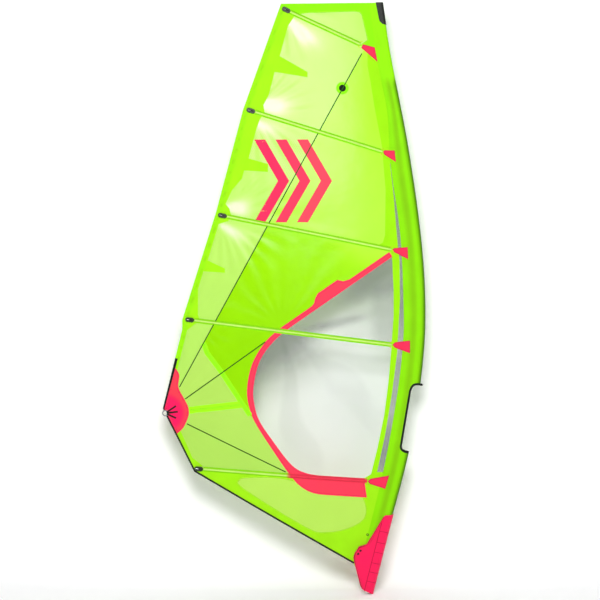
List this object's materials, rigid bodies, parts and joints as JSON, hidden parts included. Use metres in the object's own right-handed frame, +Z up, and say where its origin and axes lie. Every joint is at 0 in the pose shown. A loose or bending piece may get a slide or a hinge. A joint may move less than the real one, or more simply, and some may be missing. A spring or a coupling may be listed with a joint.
{
  "type": "windsurf sail",
  "caption": "Windsurf sail with a clear window, five full battens in pockets, a mast sleeve with a boom cut-out, a clew ring and a roller tack block under a fairing.",
  "frame": {"origin": "middle of the keeper bar under the rollers of the tack block, where the downhaul leaves the sail", "axes": "+Z up the sail towards the head, +X forward to the luff, -Y the side that the batten pockets are sewn on"},
  "size_m": [1.8478, 0.1118, 4.1478],
  "materials": {
    "lime_dacron": "dense woven polyester with a soft sheen",
    "lime_scrim": "translucent film laminated over a woven grid",
    "lime_film": "tinted monofilm, glossy",
    "clear_film": "clear monofilm, glossy",
    "pink_cloth": "coated polyester, satin",
    "pink_neoprene": "quilted neoprene, matte",
    "black_webbing": "woven webbing",
    "black_nylon": "moulded nylon, satin",
    "stainless_steel": "satin",
    "carbon_rod": "pultruded rod, satin"
  },
  "bodies": {
    "root": {"leech_binding": "black_webbing", "foot_binding": "black_webbing", "clew_patch": "pink_cloth", "window_band": "pink_cloth", "window_film": "clear_film", "luff_slit_film": "clear_film", "luff_reinforcement": "lime_dacron", "head_panel": "lime_scrim", "leech_reinforcement": "lime_dacron", "foot_panel": "lime_scrim", "foot_reinforcement": "lime_dacron", "head_reinforcement": "lime_dacron", "leech_panel": "lime_scrim", "body_panel_upper": "lime_film", "body_panel_lower": "lime_film", "clew_panel_upper": "lime_scrim", "clew_panel_middle": "lime_scrim", "clew_panel_lower": "lime_scrim", "mast_sleeve": "lime_dacron", "cutout_binding": "black_webbing", "head_cap": "black_nylon", "batten_1_top": "carbon_rod", "batten_pocket_1_top": "lime_dacron", "batten_cap_1_top": "pink_cloth", "batten_2": "carbon_rod", "batten_pocket_2": "lime_dacron", "batten_cap_2": "pink_cloth", "batten_3": "carbon_rod", "batten_pocket_3": "lime_dacron", "batten_cap_3": "pink_cloth", "batten_4": "carbon_rod", "batten_pocket_4": "lime_dacron", "batten_cap_4": "pink_cloth", "batten_5_foot": "carbon_rod", "batten_pocket_5_foot": "lime_dacron", "batten_cap_5_foot": "pink_cloth", "tensioner_housing_1_top": "black_nylon", "tensioner_housing_2": "black_nylon", "tensioner_housing_3": "black_nylon", "tensioner_housing_4": "black_nylon", "tensioner_housing_5_foot": "black_nylon", "clew_ring": "stainless_steel", "clew_webbing": "black_webbing", "tack_block": "black_nylon", "tack_block_axle": "stainless_steel", "tack_fairing": "pink_neoprene"},
    "fairing_flap": {"tack_fairing_flap": "pink_neoprene"},
    "screw_1_top": {"tensioner_screw_1_top": "stainless_steel"},
    "cup_1_top": {"tensioner_cup_1_top": "black_nylon"},
    "screw_2": {"tensioner_screw_2": "stainless_steel"},
    "cup_2": {"tensioner_cup_2": "black_nylon"},
    "screw_3": {"tensioner_screw_3": "stainless_steel"},
    "cup_3": {"tensioner_cup_3": "black_nylon"},
    "screw_4": {"tensioner_screw_4": "stainless_steel"},
    "cup_4": {"tensioner_cup_4": "black_nylon"},
    "screw_5_foot": {"tensioner_screw_5_foot": "stainless_steel"},
    "cup_5_foot": {"tensioner_cup_5_foot": "black_nylon"},
    "roller_starboard": {"tack_roller_starboard": "stainless_steel"},
    "roller_middle": {"tack_roller_middle": "stainless_steel"},
    "roller_port": {"tack_roller_port": "stainless_steel"}
  },
  "joints": [
    {"name": "screw_turn_1_top", "type": "hinge", "parent": "root", "child": "screw_1_top", "pos_m": [-0.55553, -0.03526, 4.04378], "axis": [0.9068, 0.0715, -0.4153], "range_deg": [-2160, 0]},
    {"name": "cup_slide_1_top", "type": "slide", "parent": "root", "child": "cup_1_top", "axis": [0.9068, 0.0715, -0.4153], "range_m": [-0.012, 0]},
    {"name": "screw_turn_2", "type": "hinge", "parent": "root", "child": "screw_2", "pos_m": [-0.80298, -0.02695, 3.34089], "axis": [0.9547, 0.0079, -0.2976], "range_deg": [-2160, 0]},
    {"name": "cup_slide_2", "type": "slide", "parent": "root", "child": "cup_2", "axis": [0.9547, 0.0079, -0.2976], "range_m": [-0.012, 0]},
    {"name": "screw_turn_3", "type": "hinge", "parent": "root", "child": "screw_3", "pos_m": [-1.00231, -0.01763, 2.60701], "axis": [0.9793, -0.0419, -0.1978], "range_deg": [-2160, 0]},
    {"name": "cup_slide_3", "type": "slide", "parent": "root", "child": "cup_3", "axis": [0.9793, -0.0419, -0.1978], "range_m": [-0.012, 0]},
    {"name": "screw_turn_4", "type": "hinge", "parent": "root", "child": "screw_4", "pos_m": [-1.23147, -0.00891, 1.87706], "axis": [0.9904, -0.0657, -0.1216], "range_deg": [-2160, 0]},
    {"name": "cup_slide_4", "type": "slide", "parent": "root", "child": "cup_4", "axis": [0.9904, -0.0657, -0.1216], "range_m": [-0.012, 0]},
    {"name": "screw_turn_5_foot", "type": "hinge", "parent": "root", "child": "screw_5_foot", "pos_m": [-1.16856, -0.02034, 0.83393], "axis": [0.9945, -0.077, -0.0706], "range_deg": [-2160, 0]},
    {"name": "cup_slide_5_foot", "type": "slide", "parent": "root", "child": "cup_5_foot", "axis": [0.9945, -0.077, -0.0706], "range_m": [-0.012, 0]},
    {"name": "roller_spin_starboard", "type": "hinge", "parent": "root", "child": "roller_starboard", "pos_m": [0, -0.0121, 0.021], "axis": [0, 1, 0], "continuous": true},
    {"name": "roller_spin_middle", "type": "hinge", "parent": "root", "child": "roller_middle", "pos_m": [0, 0, 0.021], "axis": [0, 1, 0], "continuous": true},
    {"name": "roller_spin_port", "type": "hinge", "parent": "root", "child": "roller_port", "pos_m": [0, 0.0121, 0.021], "axis": [0, 1, 0], "continuous": true},
    {"name": "flap_open", "type": "hinge", "parent": "root", "child": "fairing_flap", "pos_m": [0.055, 0.00689, -0.045], "axis": [0.2485, 0, 0.9686], "range_deg": [0, 150]}
  ],
  "couplings": [
    {"joint": "screw_turn_1_top", "follows": "cup_slide_1_top", "rad_per_m": 3141.6},
    {"joint": "screw_turn_2", "follows": "cup_slide_2", "rad_per_m": 3141.6},
    {"joint": "screw_turn_3", "follows": "cup_slide_3", "rad_per_m": 3141.6},
    {"joint": "screw_turn_4", "follows": "cup_slide_4", "rad_per_m": 3141.6},
    {"joint": "screw_turn_5_foot", "follows": "cup_slide_5_foot", "rad_per_m": 3141.6}
  ]
}
